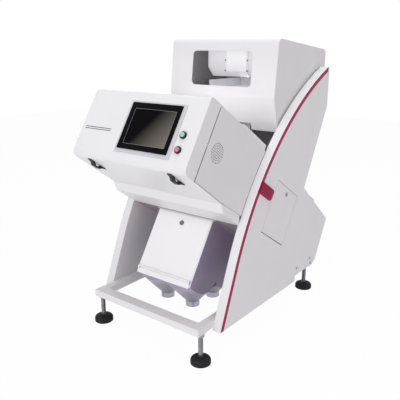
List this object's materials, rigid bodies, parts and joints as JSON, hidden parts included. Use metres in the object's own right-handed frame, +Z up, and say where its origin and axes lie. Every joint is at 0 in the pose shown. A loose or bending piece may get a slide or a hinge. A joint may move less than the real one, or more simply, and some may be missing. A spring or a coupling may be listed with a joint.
{
  "type": "optical colour sorter",
  "caption": "Chute colour sorter: leaning hood with display door, feed box above, curved side covers with a coloured stripe, collecting hopper with spouts below, frame on levelling feet.",
  "frame": {"origin": "On the floor, midway between the four levelling feet.", "axes": "+X to the right of a person facing the machine from the front, -Y to the front, +Z up."},
  "size_m": [0.766, 1.2312, 1.4034],
  "materials": {
    "white_paint": "satin powder coat",
    "grey_paint": "satin powder coat",
    "display_rim": "satin",
    "crimson_trim": "gloss",
    "zinc_steel": "zinc plated",
    "stainless": "brushed",
    "hard_aluminium": "anodised",
    "black_rubber": "matte",
    "black_plastic": "fine texture",
    "screen_glass": "glossy dark screen",
    "green_cap": "gloss",
    "red_cap": "gloss",
    "white_plastic": "semi-gloss",
    "clear_glass": "clear",
    "blue_paint": "satin",
    "plated_brass": "nickel plated"
  },
  "bodies": {
    "machine": {"base_frame": "white_paint", "beam_end_caps": "white_paint", "lock_nuts": "zinc_steel", "foot_pads": "black_rubber", "side_plate_left": "grey_paint", "side_plate_right": "grey_paint", "side_cover_left": "white_paint", "side_cover_right": "white_paint", "trim_stripes": "crimson_trim", "cover_tabs": "crimson_trim", "side_door_hinges": "zinc_steel", "hood_left_panel": "grey_paint", "hood_right_panel": "grey_paint", "hood_top_panel": "white_paint", "hood_bottom_pan": "white_paint", "door_hinge": "zinc_steel", "fan_frame": "black_plastic", "feed_wrap": "white_paint", "feed_sides": "grey_paint", "feed_hopper": "stainless", "hopper_window": "white_plastic", "feeder_springs": "zinc_steel", "feeder_drive": "blue_paint", "chute": "hard_aluminium", "cross_bars": "grey_paint", "view_walls": "grey_paint", "view_glasses": "clear_glass", "lamps": "white_plastic", "front_camera": "black_plastic", "rear_camera": "black_plastic", "ejector_block": "hard_aluminium", "ejector_valves": "black_plastic", "sorting_floor": "grey_paint", "collector_shell": "stainless", "collector_spouts": "stainless", "rear_panel": "white_paint", "rear_box_panel": "white_paint", "lid_seal": "black_rubber", "service_ports": "plated_brass"},
    "front_door": {"front_door": "white_paint", "display_frame": "display_rim", "display_bezel": "black_plastic", "display_screen": "screen_glass", "button_bezels": "black_plastic", "door_handles": "black_plastic"},
    "start_button": {"start_button": "green_cap"},
    "stop_button": {"stop_button": "red_cap"},
    "side_door": {"side_door": "white_paint"},
    "side_door_lock": {"side_door_lock": "zinc_steel"},
    "collector_door": {"collector_door": "stainless"},
    "collector_latch": {"collector_latch": "black_plastic"},
    "rear_lid": {"rear_lid": "white_paint"},
    "feeder_tray": {"feeder_tray": "stainless"},
    "wiper_front": {"wiper_front": "black_rubber"},
    "wiper_rear": {"wiper_rear": "black_rubber"},
    "fan_rotor": {"fan_rotor": "black_plastic"},
    "foot_stem_front_left": {"foot_stem_front_left": "zinc_steel"},
    "foot_stem_front_right": {"foot_stem_front_right": "zinc_steel"},
    "foot_stem_rear_left": {"foot_stem_rear_left": "zinc_steel"},
    "foot_stem_rear_right": {"foot_stem_rear_right": "zinc_steel"}
  },
  "joints": [
    {"name": "front_door_hinge", "type": "hinge", "parent": "machine", "child": "front_door", "pos_m": [0, -0.3705, 1.14204], "axis": [-1, 0, 0], "range_deg": [0, 70]},
    {"name": "start_button_press", "type": "slide", "parent": "front_door", "child": "start_button", "axis": [0, 0.8434, -0.5373], "range_m": [0, 0.004], "stiffness_N_per_m": 600, "springref_m": -0.003},
    {"name": "stop_button_press", "type": "slide", "parent": "front_door", "child": "stop_button", "axis": [0, 0.8434, -0.5373], "range_m": [0, 0.004], "stiffness_N_per_m": 600, "springref_m": -0.003},
    {"name": "side_door_hinge", "type": "hinge", "parent": "machine", "child": "side_door", "pos_m": [0.369, 0.00697, 0.46524], "axis": [0, 0.8434, -0.5373], "range_deg": [0, 90]},
    {"name": "side_door_lock_turn", "type": "hinge", "parent": "side_door", "child": "side_door_lock", "pos_m": [0.372, 0.13001, 0.65837], "axis": [1, 0, 0], "range_deg": [0, 90]},
    {"name": "collector_door_hinge", "type": "hinge", "parent": "machine", "child": "collector_door", "pos_m": [0, -0.38039, 0.30947], "axis": [1, 0, 0], "range_deg": [0, 110]},
    {"name": "collector_latch_turn", "type": "hinge", "parent": "collector_door", "child": "collector_latch", "pos_m": [0, -0.23402, 0.52806], "axis": [0, -0.8434, 0.5373], "range_deg": [0, 90]},
    {"name": "rear_lid_hinge", "type": "hinge", "parent": "machine", "child": "rear_lid", "pos_m": [0, 0.37516, 0.63558], "axis": [1, 0, 0], "range_deg": [0, 75]},
    {"name": "feeder_tray_shake", "type": "slide", "parent": "machine", "child": "feeder_tray", "axis": [0, -0.9397, 0.342], "range_m": [-0.001, 0.001], "stiffness_N_per_m": 60000, "deforming": ["feeder_springs"]},
    {"name": "wiper_front_slide", "type": "slide", "parent": "machine", "child": "wiper_front", "axis": [1, 0, 0], "range_m": [0, 0.3]},
    {"name": "wiper_rear_slide", "type": "slide", "parent": "machine", "child": "wiper_rear", "axis": [1, 0, 0], "range_m": [0, 0.3]},
    {"name": "fan_spin", "type": "hinge", "parent": "machine", "child": "fan_rotor", "pos_m": [0.317, -0.40277, 0.94621], "axis": [1, 0, 0], "continuous": true},
    {"name": "foot_stem_front_left_turn", "type": "hinge", "parent": "machine", "child": "foot_stem_front_left", "pos_m": [-0.318, -0.495, 0.1], "axis": [0, 0, 1], "continuous": true},
    {"name": "foot_stem_front_right_turn", "type": "hinge", "parent": "machine", "child": "foot_stem_front_right", "pos_m": [0.318, -0.495, 0.1], "axis": [0, 0, 1], "continuous": true},
    {"name": "foot_stem_rear_left_turn", "type": "hinge", "parent": "machine", "child": "foot_stem_rear_left", "pos_m": [-0.318, 0.495, 0.1], "axis": [0, 0, 1], "continuous": true},
    {"name": "foot_stem_rear_right_turn", "type": "hinge", "parent": "machine", "child": "foot_stem_rear_right", "pos_m": [0.318, 0.495, 0.1], "axis": [0, 0, 1], "continuous": true}
  ]
}
